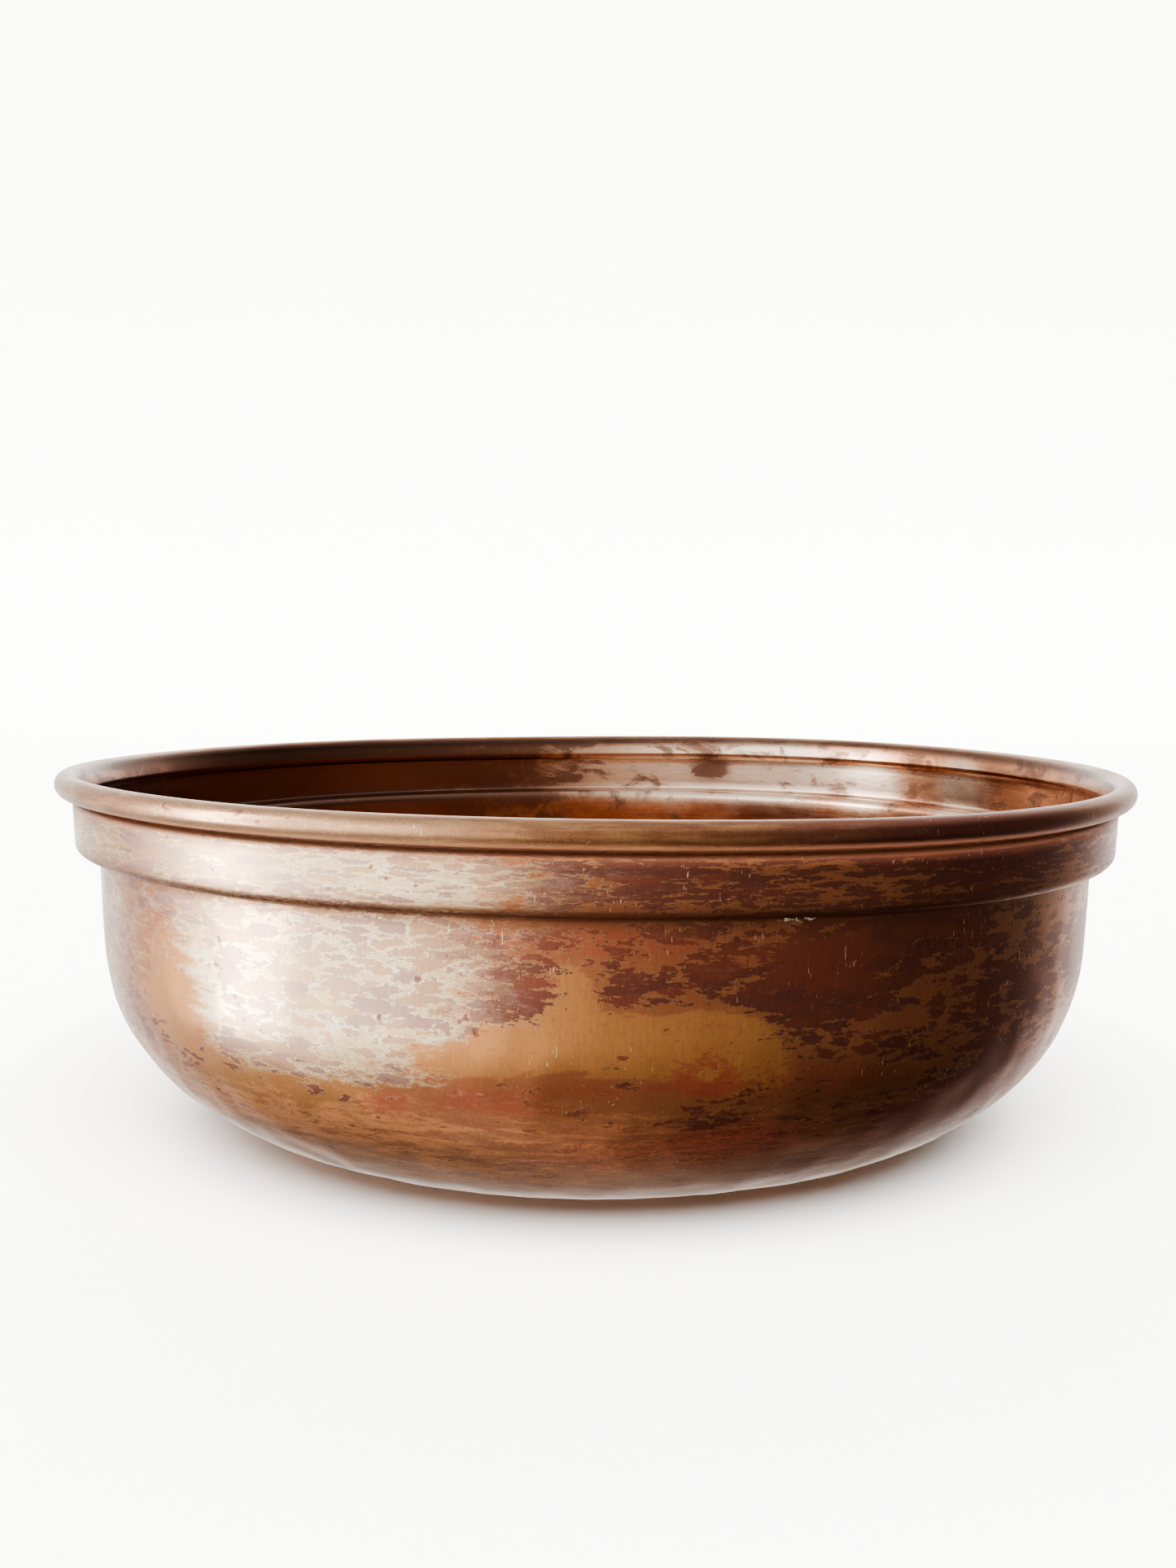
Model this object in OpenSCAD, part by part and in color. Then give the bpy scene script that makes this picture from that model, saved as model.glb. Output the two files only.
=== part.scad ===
// Copper bowl with a flat base, a full rounded body, a raised collar and a
// rim rolled over wire. One sheet is raised to shape, and a wire ring stiffens
// its edge. The origin is the centre of the base, on the surface that the bowl
// stands on, with +Z up.

/* [Bowl] */
// Diameter over the rolled rim
outer_d = 240; // [180:1:320]
// Height from the base to the top of the rolled rim
bowl_h = 80; // [65:1:110]
// Thickness of the copper sheet
sheet_t = 1; // [0.7:0.1:1.4]

/* [Body] */
// Diameter of the flat base
base_d = 116; // [80:1:140]
// Height of the curved lower part of the body
curve_h = 42; // [30:1:45]
// Pull of the curve towards its corner, where 0.55 is a quarter of an ellipse
curve_fullness = 0.55; // [0.45:0.01:0.65]
// Lean of the straight wall above the curve, in degrees
wall_lean = 2; // [0:0.5:5]

/* [Collar] */
// Drop from the top of the rim to the underside of the collar
collar_drop = 17; // [14:0.5:24]
// How far the collar stands out from the body
step_w = 5; // [4:0.1:8]
// How far the collar's face stands in from the edge of the rim
collar_inset = 3.7; // [3:0.1:6]
// How much wider the collar is at its top than at its lip
collar_flare = 0.4; // [0:0.1:1]
// Radius of the crease where the body turns out to the collar
crease_r = 1.2; // [0.6:0.1:2]
// Radius on the inside of the bend at the collar's lip
lip_bend_r = 1; // [0.4:0.1:1.5]

/* [Rolled rim] */
// Diameter of the rolled rim
bead_d = 5; // [4:0.1:7]
// Gap between the rim's lowest point and the collar's flat face
groove_h = 2; // [1.5:0.1:4]
// Depth of the neck under the rim, measured from the collar's face
neck_inset = 1.1; // [0.6:0.1:1.4]
// Radius of the hollow in the neck
neck_r = 0.8; // [0.6:0.1:1.2]
// Radius on the inside of the bend at the collar's top edge
shoulder_bend_r = 0.3; // [0.2:0.1:0.6]
// Gap between the sheet's rolled-in edge and the neck
curl_gap = 0.1; // [0.05:0.05:0.3]

/* [Wire] */
// Clearance between the wire and the sheet rolled over it
wire_clearance = 0.05; // [0.02:0.01:0.2]
// Gap between the two ends of the wire ring
wire_end_gap = 1.5; // [0.5:0.1:5]

/* [Hidden] */
$fn = 180;

// Steps along each curve of the section
body_steps = 20;
bend_steps = 6;

// Centre and radii of the rolled rim, in the section's own plane [radius, height]
bead_r = bead_d / 2;
curl_r = bead_r - sheet_t;
wire_r = curl_r - wire_clearance;
bead_c = [outer_d / 2 - bead_r, bowl_h - bead_r];

// Collar: its lip below, its shoulder above
collar_r = outer_d / 2 - collar_inset;
lip_r = lip_bend_r + sheet_t;
lip_c = [collar_r - collar_flare - lip_r, bowl_h - collar_drop + lip_r];
shoulder_r = shoulder_bend_r + sheet_t;
shoulder_c = [collar_r - shoulder_r, bowl_h - bead_d - groove_h];

// Neck: the hollow that touches the shoulder and leads into the rolled rim
neck_turn = acos(1 - neck_inset / (shoulder_r + neck_r));
neck_c = shoulder_c + (shoulder_r + neck_r) * [cos(neck_turn), sin(neck_turn)];

// Crease between the body and the underside of the collar
body_r = collar_r - collar_flare - step_w;
crease_c = [body_r + crease_r, bowl_h - collar_drop - crease_r];

// Lean from the vertical of the line that touches two circles, p below q. A
// radius counts as negative where the sheet bends inward round its circle.
function touching_lean(p, q, rp, rq) =
    atan2(q.x - p.x, q.y - p.y) - asin((rq - rp) / norm(q - p));

collar_lean = touching_lean(lip_c, shoulder_c, -lip_r, -shoulder_r);
rim_lean = touching_lean(neck_c, bead_c, neck_r, curl_r);
curl_back = acos((curl_r - curl_gap) / bead_r);

// Angles round the rolled rim: off the neck, its top, edge and foot, and its end
roll_stops = [180 - rim_lean, 90, 0, -90, curl_back - 180 - rim_lean];

// Points on a circle from angle a0 to a1
function arc(c, r, a0, a1, steps) =
    [for (i = [0:steps]) let (a = a0 + (a1 - a0) * i / steps) c + r * [cos(a), sin(a)]];

// The body's curve, a cubic from the edge of the base to the straight wall
wall_foot = [body_r - (crease_c.y - curve_h) * tan(wall_lean), curve_h];
base_edge = [base_d / 2, 0];
pull = curve_fullness * [wall_foot.x - base_edge.x, curve_h];
curve_pts = [
    base_edge,
    base_edge + [pull.x, 0],
    wall_foot - pull.y * [sin(wall_lean), cos(wall_lean)],
    wall_foot
];

function cubic(p, t) =
    pow(1 - t, 3) * p[0] + 3 * t * pow(1 - t, 2) * p[1] + 3 * t * t * (1 - t) * p[2] + pow(t, 3) * p[3];

function cubic_way(p, t) =
    pow(1 - t, 2) * (p[1] - p[0]) + 2 * t * (1 - t) * (p[2] - p[1]) + t * t * (p[3] - p[2]);

function inward(way) = [-way.y, way.x] / norm(way);

// One face of the sheet from the centre of the base to the rolled-in edge. Depth
// 0 is the outside, and depth sheet_t is the inside.
function face(depth) = concat(
    [[0, depth]],
    [for (i = [0:body_steps])
        let (t = i / body_steps)
        cubic(curve_pts, t) + depth * inward(cubic_way(curve_pts, t))],
    arc(crease_c, crease_r + depth, 180 - wall_lean, 90, bend_steps),
    arc(lip_c, lip_r - depth, -90, -collar_lean, bend_steps),
    arc(shoulder_c, shoulder_r - depth, -collar_lean, neck_turn, bend_steps),
    arc(neck_c, neck_r + depth, 180 + neck_turn, 180 - rim_lean, bend_steps),
    [for (i = [0:len(roll_stops) - 2])
        each arc(bead_c, curl_r + depth, roll_stops[i], roll_stops[i + 1], bend_steps)]
);

function backward(pts) = [for (i = [len(pts) - 1:-1:0]) pts[i]];

module bowl_shell()
    color("peru")
        rotate_extrude()
            polygon(concat(face(0), backward(face(sheet_t))));

module rim_wire() {
    gap_angle = 2 * asin(wire_end_gap / 2 / bead_c.x);
    color("sienna")
        rotate([0, 0, 90 + gap_angle / 2])
            rotate_extrude(angle = 360 - gap_angle)
                translate(bead_c)
                    circle(r = wire_r);
}

bowl_shell();
rim_wire();
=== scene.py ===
"""An old copper bowl with a raised collar and a wired rim, on a pale floor in window light.

The shell is built again here from the CAD section, finely enough for planishing marks, dents and the
waver of its rim, and wears a patina made of shader nodes. Metres throughout, +Z up.
"""

import math

import bpy
import numpy as np
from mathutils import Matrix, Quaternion, Vector


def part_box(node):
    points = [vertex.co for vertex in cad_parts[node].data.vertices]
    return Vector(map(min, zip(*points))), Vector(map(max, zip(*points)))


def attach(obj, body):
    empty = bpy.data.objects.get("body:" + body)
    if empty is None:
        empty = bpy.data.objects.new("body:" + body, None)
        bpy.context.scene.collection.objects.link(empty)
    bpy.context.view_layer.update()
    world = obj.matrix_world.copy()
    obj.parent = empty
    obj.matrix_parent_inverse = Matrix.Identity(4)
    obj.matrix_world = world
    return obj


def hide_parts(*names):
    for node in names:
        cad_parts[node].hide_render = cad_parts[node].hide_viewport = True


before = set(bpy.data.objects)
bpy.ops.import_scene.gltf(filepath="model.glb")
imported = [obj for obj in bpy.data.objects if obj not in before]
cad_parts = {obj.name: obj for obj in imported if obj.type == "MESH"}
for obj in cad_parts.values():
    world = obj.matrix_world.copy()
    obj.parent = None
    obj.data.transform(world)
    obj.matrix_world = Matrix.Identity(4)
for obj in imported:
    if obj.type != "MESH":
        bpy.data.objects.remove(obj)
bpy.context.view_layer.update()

MM = 0.001

# ---------------------------------------------------------------- the section

# Driving sizes, from the frame
OUTER_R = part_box("bowl_shell")[1].x
BOWL_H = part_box("bowl_shell")[1].z

# Sizes of the section, as in the CAD source
SHEET = 1.0 * MM
BASE_R = 58 * MM
CURVE_H = 42 * MM
FULLNESS = 0.55
WALL_LEAN = math.radians(2)
COLLAR_DROP = 17 * MM
STEP_W = 5 * MM
COLLAR_INSET = 3.7 * MM
COLLAR_FLARE = 0.4 * MM
CREASE_R = 1.2 * MM
LIP_R = 1.0 * MM + SHEET
BEAD_R = 2.5 * MM
GROOVE_H = 2.0 * MM
NECK_INSET = 1.1 * MM
NECK_R = 0.8 * MM
SHOULDER_R = 0.3 * MM + SHEET
CURL_GAP = 0.1 * MM
WIRE_R = 1.45 * MM
WIRE_END_GAP = 1.5 * MM

# Facets round the bowl, and rings of them in the base, the curve above it, the wall and the rim's roll
AROUND = 360
BASE_RINGS = 22
CURVE_RINGS = 44
WALL_RINGS = 10
ROLL_RINGS = 31

# Planishing blows: the first row's distance from the centre of the base, the steps from row to row
# and along a row, and the range of their radii and depths
FIRST_ROW = 4 * MM
ROW_STEP = 6.3 * MM
BLOW_STEP = 8.2 * MM
BLOW_RADII = (5.0 * MM, 8.0 * MM)
BLOW_DEPTHS = (0.08 * MM, 0.26 * MM)

# Seeds of the worked surface and of the patina's scattered places
SURFACE_SEED = 41
PATINA_SEED = 7


def polar(angle):
    return np.array([math.cos(angle), math.sin(angle)])


def touching_lean(p, q, rp, rq):
    """Lean from the vertical of the line that touches two circles, as in the CAD source."""
    d = q - p
    return math.atan2(d[0], d[1]) - math.asin((rq - rp) / np.linalg.norm(d))


def arc(centre, radius, a0, a1, steps):
    return [centre + radius * polar(a0 + (a1 - a0) * i / steps) for i in range(steps + 1)]


def straight(p, q, steps):
    """Points between p and q, without the two ends."""
    return [p + (q - p) * i / steps for i in range(1, steps)]


def cubic(p, t):
    return (1 - t) ** 3 * p[0] + 3 * t * (1 - t) ** 2 * p[1] + 3 * t * t * (1 - t) * p[2] + t**3 * p[3]


def cubic_way(p, t):
    return (1 - t) ** 2 * (p[1] - p[0]) + 2 * t * (1 - t) * (p[2] - p[1]) + t * t * (p[3] - p[2])


def face_points(depth):
    """A face of the sheet as (radius, height), from near the centre of the base to the rolled-in edge."""
    quarter = math.pi / 2
    collar_r = OUTER_R - COLLAR_INSET
    bead_c = np.array([OUTER_R - BEAD_R, BOWL_H - BEAD_R])
    curl_r = BEAD_R - SHEET
    lip_c = np.array([collar_r - COLLAR_FLARE - LIP_R, BOWL_H - COLLAR_DROP + LIP_R])
    shoulder_c = np.array([collar_r - SHOULDER_R, BOWL_H - 2 * BEAD_R - GROOVE_H])
    neck_turn = math.acos(1 - NECK_INSET / (SHOULDER_R + NECK_R))
    neck_c = shoulder_c + (SHOULDER_R + NECK_R) * polar(neck_turn)
    body_r = collar_r - COLLAR_FLARE - STEP_W
    crease_c = np.array([body_r + CREASE_R, BOWL_H - COLLAR_DROP - CREASE_R])
    collar_lean = touching_lean(lip_c, shoulder_c, -LIP_R, -SHOULDER_R)
    rim_lean = touching_lean(neck_c, bead_c, NECK_R, curl_r)
    curl_back = math.acos((curl_r - CURL_GAP) / BEAD_R)
    foot = np.array([body_r - (crease_c[1] - CURVE_H) * math.tan(WALL_LEAN), CURVE_H])
    edge = np.array([BASE_R, 0.0])
    pull = FULLNESS * np.array([foot[0] - edge[0], CURVE_H])
    way_up = np.array([math.sin(WALL_LEAN), math.cos(WALL_LEAN)])
    hull = [edge, edge + [pull[0], 0], foot - pull[1] * way_up, foot]

    def curve(t):
        way = cubic_way(hull, t)
        return cubic(hull, t) + depth * np.array([-way[1], way[0]]) / np.linalg.norm(way)

    base = [np.array([BASE_R * i / BASE_RINGS, depth]) for i in range(1, BASE_RINGS)]
    body = [curve(i / CURVE_RINGS) for i in range(CURVE_RINGS + 1)]
    crease = arc(crease_c, CREASE_R + depth, math.pi - WALL_LEAN, quarter, 6)
    lip = arc(lip_c, LIP_R - depth, -quarter, -collar_lean, 6)
    shoulder = arc(shoulder_c, SHOULDER_R - depth, -collar_lean, neck_turn, 4)
    neck = arc(neck_c, NECK_R + depth, math.pi + neck_turn, math.pi - rim_lean, 6)[1:]
    roll = arc(bead_c, curl_r + depth, math.pi - rim_lean, curl_back - math.pi - rim_lean, ROLL_RINGS - 1)
    return np.array(
        base
        + body
        + straight(body[-1], crease[0], WALL_RINGS)
        + crease
        + straight(crease[-1], lip[0], 2)
        + lip
        + straight(lip[-1], shoulder[0], 5)
        + shoulder
        + neck
        + straight(neck[-1], roll[0], 2)
        + roll
    )


OUTSIDE = face_points(0.0)
INSIDE = face_points(SHEET)
RINGS = len(OUTSIDE)
# Distance along the outside from the centre of the base to each ring
STEPS = np.linalg.norm(np.diff(OUTSIDE, axis=0, prepend=[[0, 0]]), axis=1)
ALONG = np.cumsum(STEPS)
# Outward direction of the sheet at each ring
OUTWARD = (OUTSIDE - INSIDE) / np.linalg.norm(OUTSIDE - INSIDE, axis=1)[:, None]
THETA = np.arange(AROUND) * 2 * math.pi / AROUND


def smooth(x, low, high):
    t = np.clip((x - low) / (high - low), 0, 1)
    return t * t * (3 - 2 * t)


# The inner face of the sheet counts as the inside as far as the top of the rolled rim, where it turns
# outwards: 1 inside, 0 beyond
INNER_SHARE = 1 - smooth(INSIDE[:, 1], BOWL_H - 1.0 * MM, BOWL_H - 0.2 * MM)
INNER_SHARE[INSIDE[:, 0] > OUTER_R - BEAD_R] = 0

# ---------------------------------------------------------- the worked surface


def waver(theta, height):
    """The bowl's moves out of round and out of level, as (outward, upward): nothing at the base."""
    share = smooth(height, 0.0, BOWL_H)
    outward = 0.35 * MM * np.cos(2 * theta + 0.9) + 0.15 * MM * np.cos(3 * theta - 0.4)
    upward = 0.55 * MM * np.sin(2 * theta) + 0.12 * MM * np.cos(5 * theta + 1.0)
    return outward * share, upward * share


def planish(rng):
    """Depth of the hammer blows on the outside, on the grid of rings by facets."""
    depth = np.zeros((RINGS, AROUND))
    wall_top = BOWL_H - COLLAR_DROP - 2 * CREASE_R
    last = int(np.searchsorted(OUTSIDE[: RINGS - ROLL_RINGS, 1], wall_top))
    row = FIRST_ROW
    while row < ALONG[last]:
        ring_r = float(np.interp(row, ALONG, OUTSIDE[:, 0]))
        height = float(np.interp(row, ALONG, OUTSIDE[:, 1]))
        # Strong on the lower curve, light on the base and the straight wall
        force = 0.35 + 0.65 * float(smooth(height, 0, 8 * MM) * (1 - smooth(height, 30 * MM, 48 * MM)))
        count = max(3, int(2 * math.pi * ring_r / BLOW_STEP))
        phase = rng.uniform(0, 2 * math.pi)
        for i in range(count):
            angle = phase + 2 * math.pi * (i + rng.uniform(-0.3, 0.3)) / count
            spot = row + rng.uniform(-2, 2) * MM
            size = rng.uniform(*BLOW_RADII)
            blow = force * rng.uniform(*BLOW_DEPTHS)
            near = np.nonzero(np.abs(ALONG - spot) < size)[0]
            near = near[near <= last + 4]
            turn = (THETA - angle + math.pi) % (2 * math.pi) - math.pi
            off = turn[None, :] * OUTSIDE[near, 0][:, None]
            away = np.hypot(off, (ALONG[near] - spot)[:, None]) / size
            depth[near] += blow * np.clip(1 - away**2, 0, 1) ** 2
        row += ROW_STEP
    return depth


def waves(rng, count, shortest, longest):
    """Smooth unevenness of unit size, on the grid of rings by facets, from a few waves through space."""
    height = np.zeros((RINGS, AROUND))
    x = OUTSIDE[:, 0][:, None] * np.cos(THETA)
    y = OUTSIDE[:, 0][:, None] * np.sin(THETA)
    z = np.repeat(OUTSIDE[:, 1][:, None], AROUND, axis=1)
    for _ in range(count):
        way = rng.normal(size=3)
        way *= 2 * math.pi / rng.uniform(shortest, longest) / np.linalg.norm(way)
        height += np.sin(way[0] * x + way[1] * y + way[2] * z + rng.uniform(0, 2 * math.pi))
    return height / math.sqrt(count)


def worked_moves():
    """Outward move of the sheet at each ring and facet."""
    rng = np.random.default_rng(SURFACE_SEED)
    body = 1 - smooth(OUTSIDE[:, 1], BOWL_H - 10 * MM, BOWL_H - 5 * MM)[:, None]
    off_base = smooth(ALONG, BASE_R - 6 * MM, BASE_R + 6 * MM)[:, None]
    broad = waves(rng, 24, 34 * MM, 70 * MM) * 0.07 * MM * (0.3 + 0.7 * off_base)
    small = waves(rng, 40, 12 * MM, 26 * MM) * 0.016 * MM
    return (broad + small) * (0.25 + 0.75 * body) * (0.4 + 0.6 * off_base) - planish(rng)


def ring_grid(section, moves):
    """Points of a face: its section turned round the axis, with the sheet's moves and the waver added."""
    r = section[:, 0][:, None] + OUTWARD[:, 0][:, None] * moves
    z = section[:, 1][:, None] + OUTWARD[:, 1][:, None] * moves
    outward, upward = waver(THETA[None, :], section[:, 1][:, None])
    r = r + outward
    z = z + upward
    return np.stack([r * np.cos(THETA), r * np.sin(THETA), z], axis=-1)


def float_attribute(mesh, name, values):
    layer = mesh.attributes.new(name, "FLOAT", "POINT")
    layer.data.foreach_set("value", np.asarray(values, np.float32).ravel())


def build_shell():
    moves = worked_moves()
    # The base keeps its lowest point on the surface that the bowl stands on
    outside = ring_grid(OUTSIDE, moves)
    inside = ring_grid(INSIDE, moves * 0.9)
    outside[..., 2] = np.maximum(outside[..., 2], 0.0)
    points = np.concatenate([outside.reshape(-1, 3), inside.reshape(-1, 3)])
    under, floor = len(points), len(points) + 1
    points = np.concatenate([points, [[0, 0, 0], [0, 0, SHEET]]])

    def ring(k, side):
        return side * RINGS * AROUND + k * AROUND + np.arange(AROUND)

    def band(a, b):
        return np.stack([a, np.roll(a, -1), np.roll(b, -1), b], axis=1)

    quads = [band(ring(k, 0), ring(k + 1, 0)) for k in range(RINGS - 1)]
    quads += [band(ring(k + 1, 1), ring(k, 1)) for k in range(RINGS - 1)]
    quads.append(band(ring(RINGS - 1, 0), ring(RINGS - 1, 1)))
    faces = np.concatenate(quads).tolist()
    first, inner = ring(0, 0), ring(0, 1)
    faces += [[under, b, a] for a, b in zip(first.tolist(), np.roll(first, -1).tolist())]
    faces += [[floor, a, b] for a, b in zip(inner.tolist(), np.roll(inner, -1).tolist())]
    mesh = bpy.data.meshes.new("bowl_shell_worked")
    mesh.from_pydata(points.tolist(), [], faces)
    mesh.validate()
    mesh.polygons.foreach_set("use_smooth", [True] * len(mesh.polygons))

    # Finishes lie flatter on the collar, where its turning has drawn them out
    flatter = 1 + 0.8 * smooth(OUTSIDE[:, 1], BOWL_H - COLLAR_DROP, BOWL_H - COLLAR_DROP + 2 * MM)
    along = np.repeat(np.cumsum(STEPS * flatter), AROUND)
    float_attribute(mesh, "along", np.concatenate([along, along, [0, 0]]))
    inner_side = np.repeat(INNER_SHARE, AROUND)
    float_attribute(mesh, "inner_side", np.concatenate([np.zeros(len(along)), inner_side, [0, 1]]))
    shell = bpy.data.objects.new("bowl_shell_worked", mesh)
    bpy.context.scene.collection.objects.link(shell)
    return shell


# ---------------------------------------------------------------- where the patina lies

CREASE_HEIGHT = (BOWL_H - COLLAR_DROP) / MM - 0.7
# Azimuths from the front, in degrees, between which the patina is scattered at random
UNSEEN = (65, 295)

# Places on the outside where one finish is strong: the azimuth from the front in degrees, plus to the
# right, the height in mm, the half width in degrees, the half height in mm, and the strength
GOLD_PLACES = [
    (3, 41, 12, 5.5, 1.0),
    (-2, 50, 2.5, 6, 0.7),
    (-12, 38, 6, 4, 0.8),
    (13, 35, 6, 4, 0.6),
    (10, 43, 5, 4, 0.8),
    (10, 35, 1.3, 1.3, 0.8),
    (-32, 27, 14, 6, 0.9),
    (-46, 43, 7, 11, 1.0),
    (40, 47, 6, 9, 0.1),
    (-4, 74, 12, 3, 0.3),
]
TARNISH_PLACES = [
    (19, 46, 6, 5, 1.1),
    (25, 51, 6, 7, 0.9),
    (29, 38, 6, 3, 0.8),
    (5, 50, 9, 4.5, 0.85),
    (-6, 51, 4, 5, 0.55),
    (8, 59, 16, 3, 0.6),
    (0, 56, 16, 4, 0.4),
    (13, 53, 8, 5, 0.5),
    (1, 38, 2.5, 1.5, 0.7),
    (-1, 69, 10, 5, 0.4),
    (30, 58, 10, 5, 0.8),
    (34, 20, 16, 10, 0.6),
    (14, 12, 14, 7, 0.35),
    (46, 38, 12, 20, 0.7),
    (28, 70, 22, 6, 0.8),
    (34, 77, 20, 4, 1.1),
    (-47, 69, 4, 5, 0.9),
    (-31, 71, 3, 4, 0.5),
]
RED_PLACES = [
    (2, 33, 10, 1.7, 0.6),
    (-12, 30, 5, 2.5, 0.35),
    (20, 33, 9, 4, 0.6),
    (4, 24, 20, 6, 0.35),
    # A red ring: the second place takes the red out of its middle
    (10, 35, 2.8, 3.2, 1.6),
    (10, 35.2, 1.3, 1.4, -2.2),
    (-20, 28, 3.2, 3, 0.8),
    (-9, 30, 6, 3, 0.35),
    (14, 22, 8, 3.5, 0.8),
    (22, 55, 7, 6, 0.7),
    (-1, 59, 10, 3.5, 0.8),
    (12, 56, 10, 5, 0.6),
    (2, 17, 14, 4, 0.4),
    (34, 45, 12, 14, 0.45),
    (30, 16, 22, 9, 0.35),
]
# The pale haze on the window side is partly a pale oxide and partly a painted highlight
HAZE_AND_HIGHLIGHT_PLACES = [
    (-29, 54, 20, 13, 1.0),
    (-29, 40, 17, 11, 1.0),
    (-27, 71, 24, 9, 1.0),
    (-68, 48, 12, 26, 0.7),
]
VERDIGRIS_PLACES = [
    (18, 62.2, 2.4, 0.5, 0.7),
    (21.5, 62.9, 1.2, 0.35, 0.7),
    (23, 65.5, 0.5, 0.4, 0.7),
]
# The same for the inside, where the pale places are a painted reflection of the window and the dark
# places painted shade
INSIDE_PAINTED_REFLECTION_PLACES = [
    (-179, 70, 10, 12, 0.6),
    (168, 68, 9, 11, 0.8),
    (152, 70, 10, 12, 1.0),
    (136, 68, 6, 10, 0.8),
    (120, 68, 6, 12, 0.7),
    (150, 45, 30, 8, 0.4),
]
INSIDE_PAINTED_SHADE_PLACES = [
    (-145, 60, 30, 30, 1.0),
    (-110, 60, 25, 30, 0.9),
    (162, 71, 3, 5, 0.9),
]


def scattered(rng, name, most):
    """Places of one finish on the sides and the back, where nothing is known of the real one."""
    places = []
    if name == "verdigris":
        for _ in range(7):
            where, wide, strength = rng.uniform(*UNSEEN), rng.uniform(1, 4), rng.uniform(0.5, most)
            places.append((where, CREASE_HEIGHT, wide, 0.8, strength))
        return places
    for _ in range(18):
        where, level = rng.uniform(*UNSEEN), rng.uniform(8, 74)
        wide, tall, strength = rng.uniform(5, 16), rng.uniform(3, 9), rng.uniform(0.4, 1.0) * most
        places.append((where, level, wide, tall, strength))
    return places


def finish_strength(places):
    """Strength of a finish at each ring and facet."""
    strength = np.zeros((RINGS, AROUND))
    azimuth = np.degrees(THETA) + 90
    height = OUTSIDE[:, 1] / MM
    for where, level, wide, tall, most in places:
        turn = (azimuth - where + 180) % 360 - 180
        far = (turn[None, :] / wide) ** 2 + ((height - level)[:, None] / tall) ** 2
        strength += most * np.exp(-(far**1.3))
    return strength


def add_finishes(mesh):
    rng = np.random.default_rng(PATINA_SEED)
    for name, places, inside_places, most in (
        ("gold", GOLD_PLACES, [], 1.0),
        ("tarnish_and_inner_shade", TARNISH_PLACES, INSIDE_PAINTED_SHADE_PLACES, 1.0),
        ("red", RED_PLACES, [], 0.8),
        ("haze_and_highlight", HAZE_AND_HIGHLIGHT_PLACES, INSIDE_PAINTED_REFLECTION_PLACES, 0.35),
        ("verdigris", VERDIGRIS_PLACES, [], 0.9),
    ):
        outside = finish_strength(places + scattered(rng, name, most))
        inner_face = outside + INNER_SHARE[:, None] * (finish_strength(inside_places) - outside)
        float_attribute(mesh, name, np.concatenate([outside.ravel(), inner_face.ravel(), [0, 0]]))
    # Dirt left by cloths in the crease and on the collar's lip, which is also painted shade there,
    # heaviest 35 degrees left of the front
    height = OUTSIDE[:, 1]
    lip_low = BOWL_H - COLLAR_DROP
    crease = np.exp(-(((height - lip_low - 0.1 * MM) / (2.3 * MM)) ** 2))
    heavy = 0.75 + 0.25 * np.cos(THETA + math.pi / 2 + math.radians(35))
    crease_dirt_and_shade = (crease[:, None] * heavy).ravel()
    float_attribute(mesh, "crease_dirt_and_shade", np.concatenate([crease_dirt_and_shade, np.zeros(len(crease_dirt_and_shade) + 2)]))
    rolled = (np.arange(RINGS) >= RINGS - ROLL_RINGS).astype(float)
    bead = np.repeat(rolled, AROUND)
    float_attribute(mesh, "bead", np.concatenate([bead, bead, [0, 0]]))
    # Dull dirt fills the groove under the roll, on both of its sides
    groove_h = BOWL_H - 2 * BEAD_R - 0.4 * GROOVE_H
    groove = np.exp(-(((height - groove_h) / (1.3 * MM)) ** 4))
    under = np.exp(-(((INSIDE[:, 1] - groove_h) / (1.7 * MM)) ** 4)) * (INNER_SHARE < 0.5)
    both_sides = np.concatenate([np.repeat(groove, AROUND), np.repeat(under, AROUND), [0, 0]])
    float_attribute(mesh, "groove", both_sides)


# ---------------------------------------------------------------- shader nodes

# How much green and blue the dimmest light keeps
DIM_TINT = (0.88, 0.78)


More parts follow.
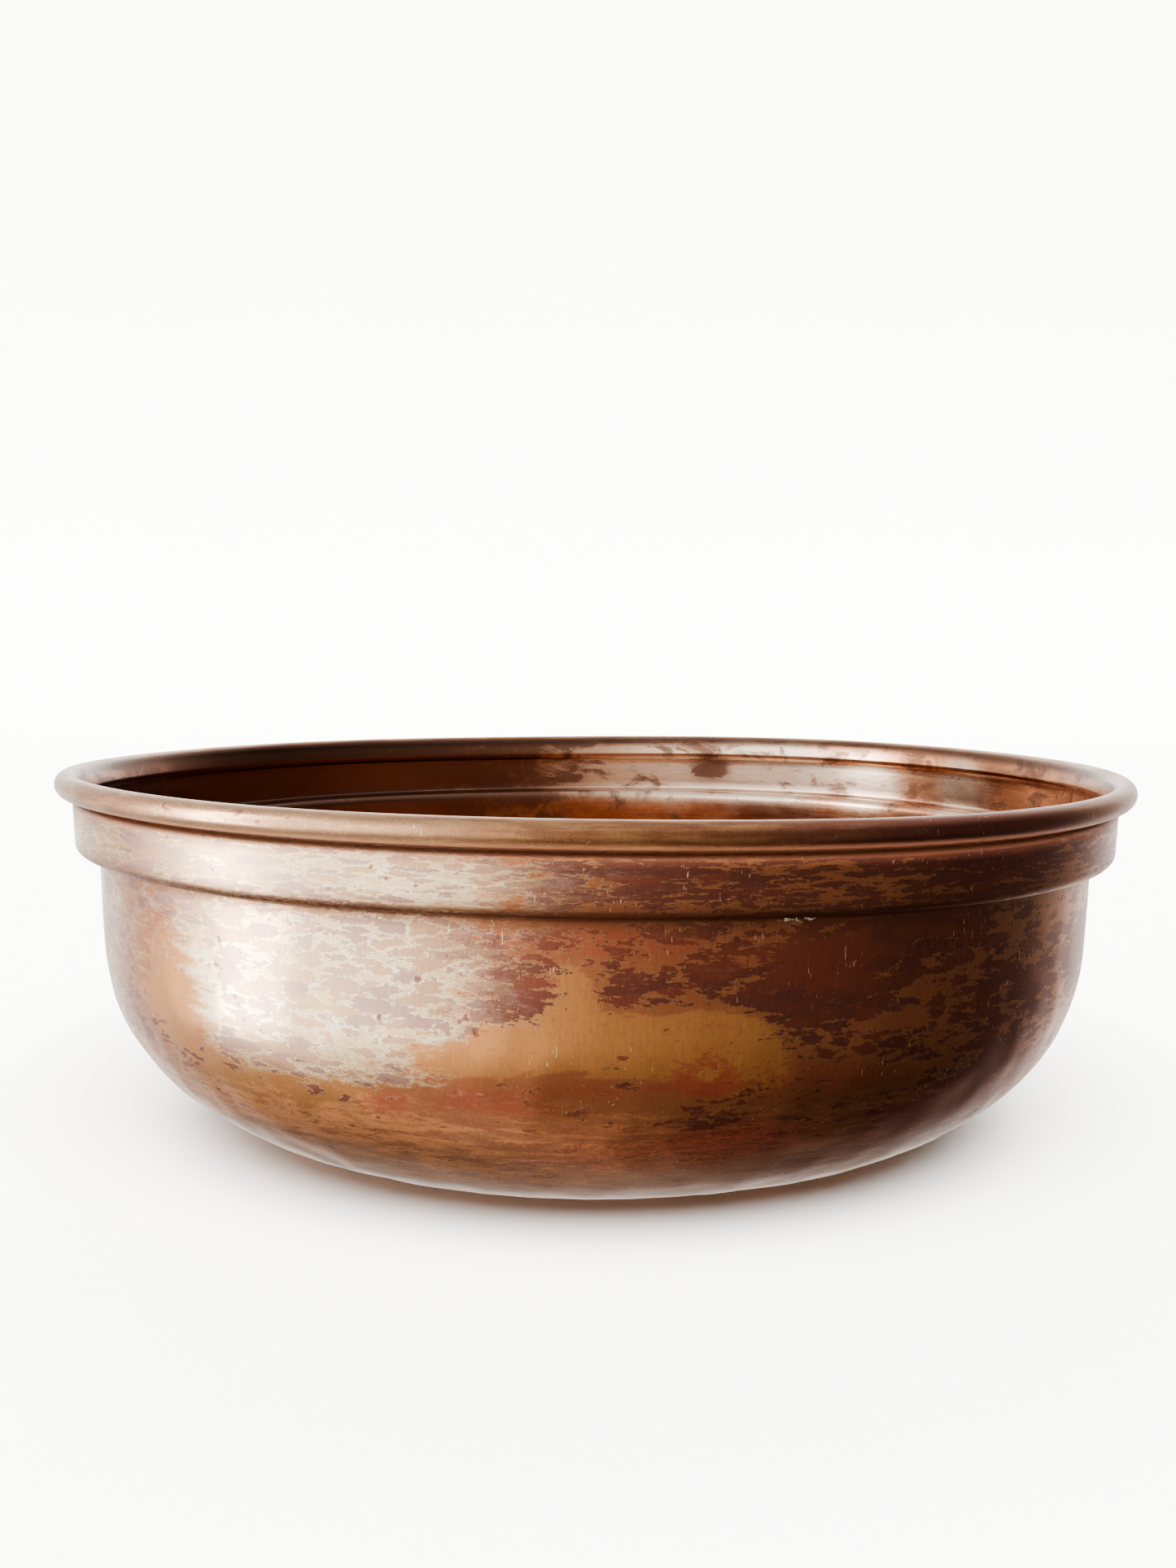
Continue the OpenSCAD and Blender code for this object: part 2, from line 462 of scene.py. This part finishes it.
class Graph:
    """Makes and joins the shader nodes of one material or world."""

    def __init__(self, owner):
        owner.use_nodes = True
        self.tree = owner.node_tree
        self.tree.nodes.clear()

    def node(self, kind, **settings):
        made = self.tree.nodes.new("ShaderNode" + kind)
        for name, value in settings.items():
            setattr(made, name, value)
        return made

    def put(self, socket, value):
        if isinstance(value, bpy.types.NodeSocket):
            self.tree.links.new(value, socket)
        elif socket.type == "RGBA":
            socket.default_value = (*value, 1.0)
        else:
            socket.default_value = value

    def math(self, operation, *values, clamp=False):
        made = self.node("Math", operation=operation, use_clamp=clamp)
        for socket, value in zip(made.inputs, values):
            self.put(socket, value)
        return made.outputs[0]

    def plus(self, a, b):
        return self.math("ADD", a, b)

    def times(self, a, b):
        return self.math("MULTIPLY", a, b)

    def ramp(self, turn, levels, most):
        """Warm-dim to white levels over a full turn, from (degrees, level) pairs."""
        made = self.node("ValToRGB")
        made.color_ramp.interpolation = "EASE"
        stops = made.color_ramp.elements
        for _ in levels[2:]:
            stops.new(0.5)
        for stop, (degrees, level) in zip(stops, levels):
            share = level / most
            green, blue = (share * kept ** (1 - share) for kept in DIM_TINT)
            stop.position = (degrees + 180) / 360
            stop.color = (share, green, blue, 1)
        self.put(made.inputs[0], turn)
        return made.outputs[0]

    def fade(self, value, low, high, start=0.0, end=1.0):
        """From start to end, smoothly, as value goes from low to high."""
        made = self.node("MapRange", interpolation_type="SMOOTHSTEP")
        names = ("Value", "From Min", "From Max", "To Min", "To Max")
        for name, x in zip(names, (value, low, high, start, end)):
            self.put(made.inputs[name], x)
        return made.outputs[0]

    def mix(self, share, a, b, blend="MIX"):
        made = self.node("Mix", data_type="RGBA", blend_type=blend)
        for index, value in ((0, share), (6, a), (7, b)):
            self.put(made.inputs[index], value)
        return made.outputs[2]

    def scaled(self, colour, factor):
        made = self.node("VectorMath", operation="SCALE")
        self.put(made.inputs[0], colour)
        self.put(made.inputs["Scale"], factor)
        return made.outputs[0]

    def attribute(self, name):
        return self.node("Attribute", attribute_name=name).outputs["Fac"]

    def noise(self, vector, size, detail=3.0, rough=0.5, warp=0.0):
        """Noise with features about size long, in metres of vector."""
        made = self.node("TexNoise")
        names = ("Vector", "Scale", "Detail", "Roughness", "Distortion")
        for name, value in zip(names, (vector, 1 / size, detail, rough, warp)):
            self.put(made.inputs[name], value)
        return made.outputs[0]

    def warped(self, vector, size, amount):
        """The vector moved about by noise, so that straight-sided cells turn ragged."""
        noise = self.node("TexNoise")
        for name, value in zip(("Vector", "Scale", "Detail", "Roughness"), (vector, 1 / size, 3.0, 0.6)):
            self.put(noise.inputs[name], value)
        centred = self.node("VectorMath", operation="SUBTRACT")
        self.put(centred.inputs[0], noise.outputs["Color"])
        self.put(centred.inputs[1], (0.5, 0.5, 0.5))
        moved = self.node("VectorMath", operation="MULTIPLY_ADD")
        self.put(moved.inputs[0], centred.outputs[0])
        self.put(moved.inputs[1], (amount, amount, amount))
        self.put(moved.inputs[2], vector)
        return moved.outputs[0]

    def cells(self, vector, size):
        """Cells about size across: how far inside its cell a point is, and two random numbers a cell."""
        border = self.node("TexVoronoi", feature="DISTANCE_TO_EDGE")
        own = self.node("TexVoronoi", feature="F1")
        for made in (border, own):
            self.put(made.inputs["Vector"], vector)
            self.put(made.inputs["Scale"], 1 / size)
        colour = self.node("SeparateColor")
        self.put(colour.inputs[0], own.outputs["Color"])
        return border.outputs["Distance"], colour.outputs[0], colour.outputs[1]

    def off_centre(self, value, weight):
        """A noise value as a swing about nothing, times weight."""
        return self.math("MULTIPLY_ADD", value, weight, -0.5 * weight)

    def total(self, *values):
        result = values[0]
        for value in values[1:]:
            result = self.plus(result, value)
        return result

    def vector(self, x, y, z):
        made = self.node("CombineXYZ")
        for socket, value in zip(made.inputs, (x, y, z)):
            self.put(socket, value)
        return made.outputs[0]


# Linear colours of the finishes, of the painted shade and reflection, the wire and the paper
GOLD = (0.73, 0.36, 0.15)
BROWN = (0.55, 0.225, 0.12)
TARNISH = (0.28, 0.105, 0.078)
RUSSET = (0.38, 0.125, 0.08)
RED = (0.64, 0.165, 0.115)
OLIVE = (0.54, 0.31, 0.15)
ORANGE = (0.74, 0.37, 0.18)
UMBER = (0.44, 0.195, 0.115)
PALE = (0.88, 0.64, 0.39)
CREAM = (0.97, 0.85, 0.62)
MAUVE = (0.61, 0.42, 0.34)
TAN = (0.74, 0.50, 0.32)
WORN_RIM = (0.36, 0.17, 0.085)
INNER_RIM_SHADE = (0.11, 0.05, 0.03)
DIRT_AND_SHADE = (0.22, 0.09, 0.05)
GROOVE_DIRT = (0.27, 0.115, 0.062)
VERDIGRIS = (0.27, 0.33, 0.26)
COPPER = (0.68, 0.37, 0.235)
RUST = (0.40, 0.195, 0.13)
STAIN_AND_SHADE = (0.20, 0.09, 0.058)
FAINT_STAIN = (0.42, 0.19, 0.12)
PAINTED_REFLECTION_PINK = (0.95, 0.78, 0.62)
DARK_STEEL = (0.10, 0.09, 0.085)
RUSTY_STEEL = (0.19, 0.12, 0.08)
PAPER_DIM = (0.84, 0.838, 0.83)
PAPER_BRIGHT = (0.86, 0.858, 0.85)


def sheet_coordinates(g):
    """Place on the sheet: x, y, height, and the way along the section from the centre of the base."""
    parts = g.node("SeparateXYZ")
    g.put(parts.inputs[0], g.node("TexCoord").outputs["Object"])
    return parts.outputs[0], parts.outputs[1], parts.outputs[2], g.attribute("along")


def outside_look(g, x, y, height, along):
    def stretched(tall):
        return g.vector(x, y, g.times(along, 1 / tall))

    gold, tarnish_and_inner_shade, red, haze_and_highlight = (g.attribute(name) for name in ("gold", "tarnish_and_inner_shade", "red", "haze_and_highlight"))
    streaked, upright, even = stretched(0.12), stretched(6.0), stretched(1.0)
    broad = g.noise(stretched(0.6), 26 * MM, 3, 0.5, 0.3)
    blots = g.noise(stretched(0.3), 7.0 * MM, 7, 0.66, 0.3)
    drawn = g.noise(streaked, 12 * MM, 4, 0.6, 0.2)
    grain = g.noise(upright, 0.5 * MM, 3, 0.6)
    speck = g.noise(g.vector(x, y, g.times(along, 1.8)), 1.2 * MM, 5, 0.7, 0.4)

    # Islands of tarnish, wider than tall, with crisp ragged edges, that join where it is thickest
    inside_cell, random, other_random = g.cells(g.warped(stretched(0.32), 3.5 * MM, 3.0 * MM), 7 * MM)
    field = g.total(
        g.times(inside_cell, g.fade(haze_and_highlight, 0.0, 1.0, 0.5, 1.1)),
        g.off_centre(random, 0.16),
        g.off_centre(broad, 1.0),
        g.off_centre(blots, 1.35),
        g.off_centre(speck, 0.8),
        g.times(tarnish_and_inner_shade, 0.30),
        g.times(gold, -0.4),
        g.times(haze_and_highlight, 0.04),
    )
    island = g.fade(field, 0.13, 0.15)
    outline = g.times(g.fade(field, 0.04, 0.115), g.fade(island, 0, 1, 1.0, 0.0))

    # The bare metal between them
    warmth = g.total(
        g.times(gold, 0.9), g.off_centre(broad, 1.0), g.off_centre(blots, 1.3), g.off_centre(speck, 0.4)
    )
    warm = g.plus(g.fade(warmth, 0.24, 0.36, 0.0, 0.75), g.fade(warmth, -0.3, 0.7, 0.0, 0.25))
    ground = g.mix(warm, BROWN, GOLD)
    ground = g.mix(g.fade(speck, 0.46, 0.60, 0.0, 0.28), ground, OLIVE)
    mottled = g.total(red, g.off_centre(blots, 1.6), g.off_centre(speck, 3.0))
    reddish = g.plus(g.fade(mottled, 0.38, 0.60, 0.0, 0.6), g.fade(mottled, 0.8, 1.1, 0.0, 0.4))
    ground = g.mix(g.times(reddish, 0.85), ground, RED)
    # Pale haze, partly a pale oxide and partly a painted highlight on the window side, which also pales
    # the islands and their outlines there
    veil_and_highlight = g.total(haze_and_highlight, g.times(gold, -0.6), g.off_centre(blots, 1.5), g.off_centre(speck, 0.8))
    hazed_and_lit = g.fade(veil_and_highlight, 0.12, 0.72, 0.0, 0.95)
    ground = g.mix(hazed_and_lit, ground, g.mix(g.fade(blots, 0.42, 0.6), PALE, CREAM))
    patch = g.mix(g.fade(g.total(random, reddish), 0.45, 1.1), TARNISH, RUSSET)
    lit_hazed_patch = g.mix(g.fade(other_random, 0.3, 0.7), MAUVE, TAN)
    in_haze_and_light = g.plus(g.times(hazed_and_lit, 0.6), g.math("MULTIPLY", haze_and_highlight, 0.35, clamp=True))
    patch = g.mix(in_haze_and_light, patch, lit_hazed_patch)
    colour = g.mix(island, ground, patch)
    edge = g.mix(g.math("MULTIPLY", haze_and_highlight, 1.1, clamp=True), OLIVE, CREAM)
    colour = g.mix(g.times(outline, g.fade(haze_and_highlight, 0.1, 0.7, 0.5, 0.9)), colour, edge)

    # The rim is worn to a plain brown
    bead = g.attribute("bead")
    worn = g.mix(g.fade(drawn, 0.42, 0.62), WORN_RIM, OLIVE)
    worn = g.mix(g.math("MULTIPLY", haze_and_highlight, 0.75, clamp=True), worn, TAN)
    worn = g.mix(g.math("MULTIPLY", tarnish_and_inner_shade, 0.85, clamp=True), worn, TARNISH)
    colour = g.mix(g.times(bead, 0.85), colour, worn)

    # The lower curve is granular and streaked along its turning
    ragged = g.total(
        height, g.off_centre(blots, 30 * MM), g.off_centre(broad, 12 * MM), g.off_centre(speck, 6 * MM)
    )
    low = g.plus(g.fade(ragged, 26 * MM, 27.5 * MM, 0.5, 0.0), g.fade(ragged, 20 * MM, 31 * MM, 0.5, 0.0))
    dull_and_shaded = g.mix(g.fade(g.total(speck, g.off_centre(blots, 1.2)), 0.36, 0.66), UMBER, OLIVE)
    amber = g.total(drawn, g.off_centre(broad, 0.5), g.off_centre(blots, 0.7), g.times(gold, 0.25))
    dull_and_shaded = g.mix(g.fade(amber, 0.42, 0.62), dull_and_shaded, ORANGE)
    dull_and_shaded = g.mix(g.times(reddish, 0.8), dull_and_shaded, RED)
    darkened = g.total(g.times(tarnish_and_inner_shade, 0.6), drawn, g.off_centre(blots, 0.5))
    dull_and_shaded = g.mix(g.fade(darkened, 0.62, 0.95), dull_and_shaded, TARNISH)
    # The lower colour is painted darker towards the base, as shade
    dull_and_shaded = g.scaled(dull_and_shaded, g.fade(height, 9 * MM, 25 * MM, 0.68, 1.3))
    colour = g.mix(g.times(low, 0.85), colour, dull_and_shaded)
    crack = g.math("ABSOLUTE", g.off_centre(g.noise(stretched(0.22), 9 * MM, 5, 0.6, 0.3), 1.0))
    cracked = g.times(g.fade(crack, 0.016, 0.004), g.times(low, g.fade(broad, 0.50, 0.56)))
    colour = g.mix(g.times(cracked, 0.75), colour, DIRT_AND_SHADE)

    # Fine brush marks, upright on the wall
    colour = g.scaled(colour, g.math("MULTIPLY_ADD", grain, 0.36, 0.82))

    # Short bright scratches in clusters, and pits
    marks = g.noise(stretched(8.0), 0.33 * MM, 1, 0.3)
    clusters = g.noise(even, 9 * MM, 2, 0.5)
    scratch = g.times(g.fade(marks, 0.72, 0.76), g.fade(clusters, 0.50, 0.62))
    colour = g.mix(g.times(scratch, 0.8), colour, CREAM)
    pit = g.times(g.fade(g.noise(even, 2.6 * MM, 2, 0.4), 0.70, 0.74), g.fade(clusters, 0.42, 0.5))
    colour = g.mix(g.times(pit, 0.7), colour, TARNISH)

    # Dirt and painted shade in the crease, dirt in the groove under the roll, and a touch of green
    patchy = g.fade(g.total(speck, g.off_centre(drawn, 0.8)), 0.25, 0.62, 0.6, 1.0)
    crease_dirt_and_shade = g.times(g.attribute("crease_dirt_and_shade"), patchy)
    colour = g.mix(crease_dirt_and_shade, colour, DIRT_AND_SHADE)
    groove = g.attribute("groove")
    colour = g.mix(g.times(groove, 0.9), colour, GROOVE_DIRT)
    green = g.times(g.fade(g.attribute("verdigris"), 0.25, 0.6), g.fade(speck, 0.47, 0.55))
    colour = g.mix(g.times(green, 0.75), colour, VERDIGRIS)

    rough = g.total(
        0.26,
        g.times(island, 0.05),
        g.off_centre(broad, 0.14),
        g.times(low, 0.09),
        g.times(crease_dirt_and_shade, 0.15),
        g.times(green, 0.3),
        g.times(groove, 0.35),
        g.times(outline, -0.03),
    )
    metal = g.times(g.fade(green, 0, 1, 1.0, 0.5), g.fade(groove, 0, 1, 1.0, 0.5))
    relief = g.total(
        g.times(island, 0.25),
        g.times(speck, 0.25),
        g.times(grain, 0.12),
        g.times(scratch, -0.6),
        g.times(pit, -0.8),
    )
    return colour, rough, metal, relief


def inside_look(g, x, y, along):
    def stretched(tall):
        return g.vector(x, y, g.times(along, 1 / tall))

    tarnish_and_inner_shade, painted_reflection = g.attribute("tarnish_and_inner_shade"), g.attribute("haze_and_highlight")
    broad = g.noise(stretched(0.5), 34 * MM, 4, 0.55, 0.4)
    blots = g.noise(stretched(0.8), 11 * MM, 7, 0.64, 0.5)
    turned = g.noise(stretched(0.05), 12 * MM, 4, 0.65)
    speck = g.noise(stretched(1.0), 1.6 * MM, 5, 0.7)
    wall = g.fade(along, 66 * MM, 88 * MM)
    colour = g.mix(g.fade(g.plus(broad, g.off_centre(blots, 0.4)), 0.36, 0.62), RUST, COPPER)
    colour = g.mix(g.fade(turned, 0.38, 0.68, 0.0, 0.4), colour, GOLD)
    colour = g.mix(g.fade(turned, 0.50, 0.36, 0.0, 0.35), colour, FAINT_STAIN)
    # A painted reflection of the window, pale pink, on the right of the far wall
    painted_reflection = g.fade(g.total(painted_reflection, g.off_centre(blots, 0.6)), 0.2, 0.8)
    colour = g.mix(g.times(painted_reflection, 0.85), colour, PAINTED_REFLECTION_PINK)
    stained = g.total(blots, g.times(tarnish_and_inner_shade, 0.2), g.times(painted_reflection, -0.05), g.off_centre(broad, 0.5))
    stain = g.fade(stained, 0.50, 0.64)
    colour = g.mix(g.times(stain, g.fade(wall, 0, 1, 0.6, 0.8)), colour, g.mix(wall, FAINT_STAIN, STAIN_AND_SHADE))
    # Painted shade on the left of the inside, in the stain colour
    colour = g.mix(g.math("MULTIPLY", tarnish_and_inner_shade, 0.7, clamp=True), colour, STAIN_AND_SHADE)
    colour = g.mix(g.fade(speck, 0.6, 0.75, 0.0, 0.5), colour, STAIN_AND_SHADE)
    # The inner half of the roll is painted dark all round, as shade
    colour = g.mix(g.times(g.attribute("bead"), g.fade(blots, 0.3, 0.6, 0.95, 0.8)), colour, INNER_RIM_SHADE)
    rough = g.total(0.25, g.times(stain, 0.10), g.off_centre(broad, 0.2), g.off_centre(turned, 0.1))
    return colour, rough, 1.0, g.plus(g.times(speck, 0.3), g.times(turned, 0.35))


def blend_numbers(g, share, a, b):
    """a where share is 0, b where it is 1."""
    return g.plus(a, g.times(share, g.math("SUBTRACT", b, a)))


def copper_material():
    material = bpy.data.materials.new("old_copper")
    g = Graph(material)
    x, y, height, along = sheet_coordinates(g)
    inner = g.attribute("inner_side")
    out_colour, out_rough, out_metal, out_relief = outside_look(g, x, y, height, along)
    in_colour, in_rough, in_metal, in_relief = inside_look(g, x, y, along)
    shader = g.node("BsdfPrincipled")
    g.put(shader.inputs["Base Color"], g.mix(inner, out_colour, in_colour))
    g.put(shader.inputs["Roughness"], blend_numbers(g, inner, out_rough, in_rough))
    g.put(shader.inputs["Metallic"], blend_numbers(g, inner, out_metal, in_metal))
    shader.inputs["Coat Weight"].default_value = 0.55
    shader.inputs["Coat Roughness"].default_value = 0.22
    bump = g.node("Bump")
    bump.inputs["Strength"].default_value = 0.55
    bump.inputs["Distance"].default_value = 0.05 * MM
    g.put(bump.inputs["Height"], blend_numbers(g, inner, out_relief, in_relief))
    g.put(shader.inputs["Normal"], bump.outputs[0])
    out = g.node("OutputMaterial")
    g.put(out.inputs["Surface"], shader.outputs[0])
    return material


def wire_material():
    material = bpy.data.materials.new("annealed_wire")
    g = Graph(material)
    place = g.node("TexCoord").outputs["Object"]
    scale = g.noise(place, 3 * MM, 4, 0.6)
    shader = g.node("BsdfPrincipled")
    g.put(shader.inputs["Base Color"], g.mix(g.fade(scale, 0.4, 0.65), DARK_STEEL, RUSTY_STEEL))
    g.put(shader.inputs["Roughness"], g.fade(scale, 0.3, 0.7, 0.42, 0.62))
    shader.inputs["Metallic"].default_value = 1.0
    out = g.node("OutputMaterial")
    g.put(out.inputs["Surface"], shader.outputs[0])
    return material


# ---------------------------------------------------------------- pieces


def build_wire():
    """The wire inside the rolled rim, following the rim's waver, with a gap between its two ends."""
    centre_r, centre_z = OUTER_R - BEAD_R, BOWL_H - BEAD_R
    gap = WIRE_END_GAP / centre_r
    turns, sides = 360, 14
    points, faces = [], []
    for i in range(turns + 1):
        theta = math.pi / 2 + gap / 2 + (2 * math.pi - gap) * i / turns
        outward, upward = waver(theta, centre_z)
        for k in range(sides):
            across = WIRE_R * polar(2 * math.pi * k / sides)
            r = centre_r + outward + across[0]
            points.append((r * math.cos(theta), r * math.sin(theta), centre_z + upward + across[1]))
    for i in range(turns):
        for k in range(sides):
            a, b = i * sides + k, i * sides + (k + 1) % sides
            faces.append((a, a + sides, b + sides, b))
    faces.append(tuple(range(sides)))
    faces.append(tuple(turns * sides + k for k in reversed(range(sides))))
    mesh = bpy.data.meshes.new("rim_wire_ring")
    mesh.from_pydata(points, [], faces)
    mesh.polygons.foreach_set("use_smooth", [len(p.vertices) == 4 for p in mesh.polygons])
    wire = bpy.data.objects.new("rim_wire_ring", mesh)
    bpy.context.scene.collection.objects.link(wire)
    return wire


shell = build_shell()
add_finishes(shell.data)
shell.data.materials.append(copper_material())
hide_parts("bowl_shell")
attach(shell, "root")

wire = build_wire()
wire.data.materials.append(wire_material())
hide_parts("rim_wire")
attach(wire, "root")

# ---------------------------------------------------------------- floor, light and camera


def paper_material():
    material = bpy.data.materials.new("pale_paper")
    g = Graph(material)
    place = g.node("TexCoord").outputs["Object"]
    shader = g.node("BsdfPrincipled")
    g.put(shader.inputs["Base Color"], g.mix(g.noise(place, 0.2, 2), PAPER_DIM, PAPER_BRIGHT))
    shader.inputs["Roughness"].default_value = 0.85
    out = g.node("OutputMaterial")
    g.put(out.inputs["Surface"], shader.outputs[0])
    return material


def build_backdrop():
    """A floor that sweeps up into a wall behind the bowl."""
    depth, bend, height, half = 1.1, 0.5, 2.4, 8.0
    section = [(-half, 0.0), (depth, 0.0)]
    for a in np.linspace(0, math.pi / 2, 17)[1:]:
        section.append((depth + bend * math.sin(a), bend * (1 - math.cos(a))))
    section.append((depth + bend, height))
    points = [(x, y, z) for y, z in section for x in (-half, half)]
    faces = [(2 * i, 2 * i + 1, 2 * i + 3, 2 * i + 2) for i in range(len(section) - 1)]
    mesh = bpy.data.meshes.new("backdrop")
    mesh.from_pydata(points, [], faces)
    mesh.polygons.foreach_set("use_smooth", [True] * len(mesh.polygons))
    backdrop = bpy.data.objects.new("backdrop", mesh)
    bpy.context.scene.collection.objects.link(backdrop)
    backdrop.data.materials.append(paper_material())
    # The bowl mirrors the room round it, as it does when held up, and not the paper it stands on
    backdrop.visible_glossy = False
    backdrop.visible_shadow = False


def soft_sky():
    """Even light from overhead for the paper, which shows in no reflection."""
    lamp = bpy.data.lights.new("overhead", "SUN")
    lamp.energy = 11.0
    lamp.angle = math.radians(56)
    lamp.color = (1.0, 0.99, 0.975)
    holder = bpy.data.objects.new("overhead", lamp)
    holder.rotation_euler = (math.radians(35), 0, 0)
    holder.visible_glossy = False
    bpy.context.scene.collection.objects.link(holder)


def window_light():
    """A tall window on the left, which the bowl mirrors and which adds no light to the paper."""
    place, target = Vector((-1.37, -0.27, 0.15)), Vector((0, 0, 0.04))
    lamp = bpy.data.lights.new("window", "AREA")
    lamp.shape = "RECTANGLE"
    lamp.size, lamp.size_y = 0.38, 1.5
    lamp.energy = 9
    lamp.color = (1.0, 0.985, 0.965)
    holder = bpy.data.objects.new("window", lamp)
    holder.location = place
    holder.rotation_euler = (target - place).to_track_quat("-Z", "Y").to_euler()
    holder.visible_diffuse = False
    bpy.context.scene.collection.objects.link(holder)


# Brightness of the room by azimuth from the front, in degrees, plus to the right: a bright wall and
# a window on the left, a dim room in front to the right, and a bright wall again behind
ROOM = [
    (-180, 1.7),
    (-162, 1.5),
    (-142, 1.05),
    (-120, 0.9),
    (-96, 1.35),
    (-70, 1.75),
    (-44, 1.6),
    (-26, 1.2),
    (-10, 0.68),
    (8, 0.49),
    (28, 0.37),
    (50, 0.28),
    (80, 0.17),
    (106, 0.16),
    (122, 0.35),
    (140, 1.0),
    (180, 1.7),
]
# The same for what lies below, as a share of the room's brightness at that azimuth
LOWER_ROOM = [
    (-180, 0.28),
    (-140, 0.30),
    (-100, 0.32),
    (-60, 0.33),
    (-20, 0.42),
    (20, 0.72),
    (60, 0.68),
    (110, 0.40),
    (150, 0.27),
    (180, 0.28),
]
# The room's strength where its colour is white, its ceiling's colour, and the background's strength
BRIGHTEST = 1.8
CEILING = (0.40, 0.40, 0.41)
PAPER_WHITE = 3.0


def build_room():
    """The light that comes from all round, and the pale background seen past the floor."""
    world = bpy.data.worlds.new("room")
    bpy.context.scene.world = world
    g = Graph(world)
    way = g.node("SeparateXYZ")
    g.put(way.inputs[0], g.node("TexCoord").outputs["Generated"])
    azimuth = g.math("ARCTAN2", way.outputs[0], g.times(way.outputs[1], -1.0))
    turn = g.plus(g.times(azimuth, 0.5 / math.pi), 0.5)
    walls = g.ramp(turn, ROOM, BRIGHTEST)
    colour = g.mix(g.fade(way.outputs[2], 0.35, 0.95), walls, CEILING)
    lower = g.mix(1.0, walls, g.ramp(turn, LOWER_ROOM, 1.0), "MULTIPLY")
    colour = g.mix(g.fade(way.outputs[2], -0.2, -0.8), colour, lower)
    room, seen = g.node("Background"), g.node("Background")
    g.put(room.inputs["Color"], colour)
    g.put(room.inputs["Strength"], BRIGHTEST)
    g.put(seen.inputs["Color"], (1.0, 1.0, 0.99))
    g.put(seen.inputs["Strength"], PAPER_WHITE)
    either = g.node("MixShader")
    g.put(either.inputs[0], g.node("LightPath").outputs["Is Camera Ray"])
    g.put(either.inputs[1], room.outputs[0])
    g.put(either.inputs[2], seen.outputs[0])
    out = g.node("OutputWorld")
    g.put(out.inputs["Surface"], either.outputs[0])


build_backdrop()
build_room()
window_light()
soft_sky()

# The camera's place is from the middle of the rim's top, in units of the radius of the roll's centre
RIM_R = OUTER_R - BEAD_R
CAMERA_PLACE = Vector((-0.012, -3.2, 0.243)) * RIM_R + Vector((0, 0, BOWL_H))
CAMERA_PITCH = math.radians(5.03)
CAMERA_ROLL = math.radians(0.4)
SENSOR = 36.0
LENS = 37.07


def build_camera():
    camera = bpy.data.objects.new("camera", bpy.data.cameras.new("camera"))
    bpy.context.scene.collection.objects.link(camera)
    camera.data.sensor_width = SENSOR
    camera.data.lens = LENS
    camera.location = CAMERA_PLACE
    camera.rotation_mode = "QUATERNION"
    way = Vector((0, math.cos(CAMERA_PITCH), -math.sin(CAMERA_PITCH)))
    camera.rotation_quaternion = way.to_track_quat("-Z", "Y") @ Quaternion((0, 0, 1), CAMERA_ROLL)
    bpy.context.scene.camera = camera


build_camera()
bpy.context.scene.view_settings.view_transform = "AgX"
bpy.context.scene.view_settings.look = "AgX - High Contrast"
